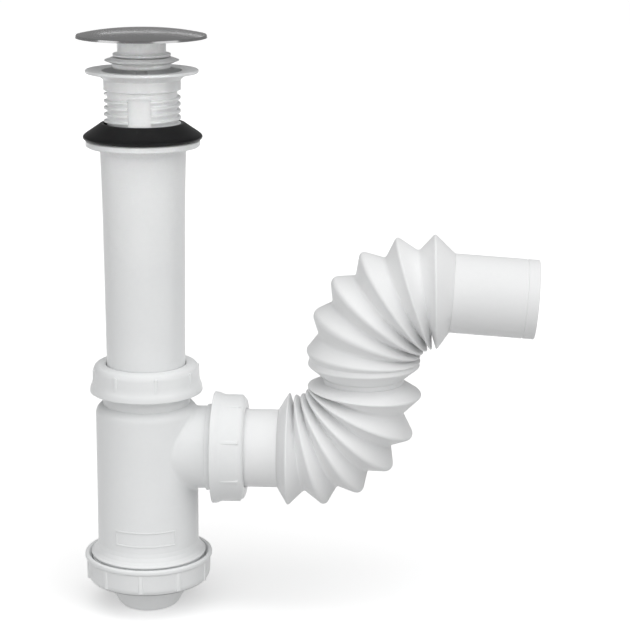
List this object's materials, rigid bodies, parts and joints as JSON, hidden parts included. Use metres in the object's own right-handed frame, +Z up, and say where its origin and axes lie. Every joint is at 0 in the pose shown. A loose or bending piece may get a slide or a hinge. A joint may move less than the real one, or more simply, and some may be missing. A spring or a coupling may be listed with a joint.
{
  "type": "bottle trap",
  "caption": "Bottle trap for a wash basin with a pop-up waste, an adjustable inlet tube and a pleated outlet pipe.",
  "frame": {"origin": "on the waste axis, at the underside of the basin flange, where the basin bears", "axes": "+Z up along the waste axis, +X along the bottle's outlet branch"},
  "size_m": [0.2315, 0.066, 0.2988],
  "materials": {
    "white_plastic": "satin injection-moulded polypropylene",
    "soft_white_plastic": "soft matt blown polypropylene",
    "black_rubber": "matt moulded rubber",
    "grey_rubber": "soft grey rubber",
    "cap_steel": "polished stainless steel",
    "spring_steel": "bright drawn spring wire",
    "stud_brass": "turned brass"
  },
  "bodies": {
    "waste": {"waste_body": "white_plastic", "waste_spider": "white_plastic", "latch_barrel": "white_plastic", "latch_spring": "spring_steel"},
    "plug": {"plug_cap": "cap_steel", "cap_stud": "stud_brass", "plug_core": "white_plastic", "plug_lip_seal": "soft_white_plastic", "latch_plunger": "white_plastic"},
    "rotor": {"latch_rotor": "white_plastic"},
    "gasket": {"cone_gasket": "black_rubber"},
    "tube": {"inlet_tube": "white_plastic"},
    "inlet_seal": {"inlet_cone_seal": "grey_rubber"},
    "bottle": {"bottle_body": "white_plastic"},
    "inlet_ring": {"inlet_slip_ring": "white_plastic"},
    "inlet_nut": {"inlet_nut": "white_plastic"},
    "outlet_ring": {"outlet_slip_ring": "white_plastic"},
    "outlet_nut": {"outlet_nut": "white_plastic"},
    "cup_seal": {"cup_seal_ring": "grey_rubber"},
    "cup": {"bottom_cup": "white_plastic"},
    "outlet_seal": {"outlet_cone_seal": "grey_rubber"},
    "hose": {"hose_cuff": "soft_white_plastic", "lower_bellows": "soft_white_plastic"},
    "neck": {"hose_neck": "soft_white_plastic", "upper_bellows": "soft_white_plastic"},
    "spigot": {"outlet_spigot": "soft_white_plastic"}
  },
  "joints": [
    {"name": "plug_press", "type": "slide", "parent": "waste", "child": "plug", "axis": [0, 0, -1], "range_m": [0, 0.0075], "stiffness_N_per_m": 250, "springref_m": -0.004, "deforming": ["latch_spring"]},
    {"name": "rotor_step", "type": "hinge", "parent": "plug", "child": "rotor", "pos_m": [0, 0, 0], "axis": [0, 0, 1], "range_deg": [0, 45]},
    {"name": "gasket_travel", "type": "slide", "parent": "waste", "child": "gasket", "axis": [0, 0, 1], "range_m": [-0.0099, 0.0132]},
    {"name": "tube_screw", "type": "hinge", "parent": "gasket", "child": "tube", "pos_m": [0, 0, 0], "axis": [0, 0, 1], "range_deg": [-1080, 1440]},
    {"name": "bottle_height", "type": "slide", "parent": "tube", "child": "inlet_seal", "axis": [0, 0, 1], "range_m": [-0.025, 0.012]},
    {"name": "bottle_swivel", "type": "hinge", "parent": "inlet_seal", "child": "bottle", "pos_m": [0, 0, 0], "axis": [0, 0, 1], "range_deg": [-180, 180]},
    {"name": "inlet_ring_travel", "type": "slide", "parent": "bottle", "child": "inlet_ring", "axis": [0, 0, 1], "range_m": [0, 0.0075]},
    {"name": "inlet_nut_turn", "type": "hinge", "parent": "inlet_ring", "child": "inlet_nut", "pos_m": [0, 0, 0], "axis": [0, 0, 1], "range_deg": [0, 900]},
    {"name": "outlet_ring_travel", "type": "slide", "parent": "bottle", "child": "outlet_ring", "axis": [1, 0, 0], "range_m": [0, 0.0075]},
    {"name": "outlet_nut_turn", "type": "hinge", "parent": "outlet_ring", "child": "outlet_nut", "pos_m": [0, 0, -0.192], "axis": [1, 0, 0], "range_deg": [0, 900]},
    {"name": "cup_seal_travel", "type": "slide", "parent": "bottle", "child": "cup_seal", "axis": [0, 0, -1], "range_m": [0, 0.012]},
    {"name": "cup_turn", "type": "hinge", "parent": "cup_seal", "child": "cup", "pos_m": [0, 0, 0], "axis": [0, 0, -1], "range_deg": [0, 1440]},
    {"name": "outlet_swivel", "type": "hinge", "parent": "bottle", "child": "outlet_seal", "pos_m": [0, 0, -0.192], "axis": [1, 0, 0], "range_deg": [-180, 180]},
    {"name": "hose_reach", "type": "slide", "parent": "outlet_seal", "child": "hose", "axis": [1, 0, 0], "range_m": [-0.003, 0.012]},
    {"name": "lower_bend", "type": "hinge", "parent": "hose", "child": "neck", "pos_m": [0.0973, 0, -0.1782], "axis": [0, 1, 0], "range_deg": [-12, 40], "deforming": ["lower_bellows"]},
    {"name": "upper_bend", "type": "hinge", "parent": "neck", "child": "spigot", "pos_m": [0.1245, 0, -0.1225], "axis": [0, 1, 0], "range_deg": [-40, 15], "deforming": ["upper_bellows"]}
  ],
  "couplings": [
    {"joint": "rotor_step", "follows": "plug_press", "rad_per_m": 104.72},
    {"joint": "tube_screw", "follows": "gasket_travel", "rad_per_m": 1904},
    {"joint": "inlet_nut_turn", "follows": "inlet_ring_travel", "rad_per_m": 2094.4},
    {"joint": "outlet_nut_turn", "follows": "outlet_ring_travel", "rad_per_m": 2094.4},
    {"joint": "cup_turn", "follows": "cup_seal_travel", "rad_per_m": 2094.4}
  ]
}
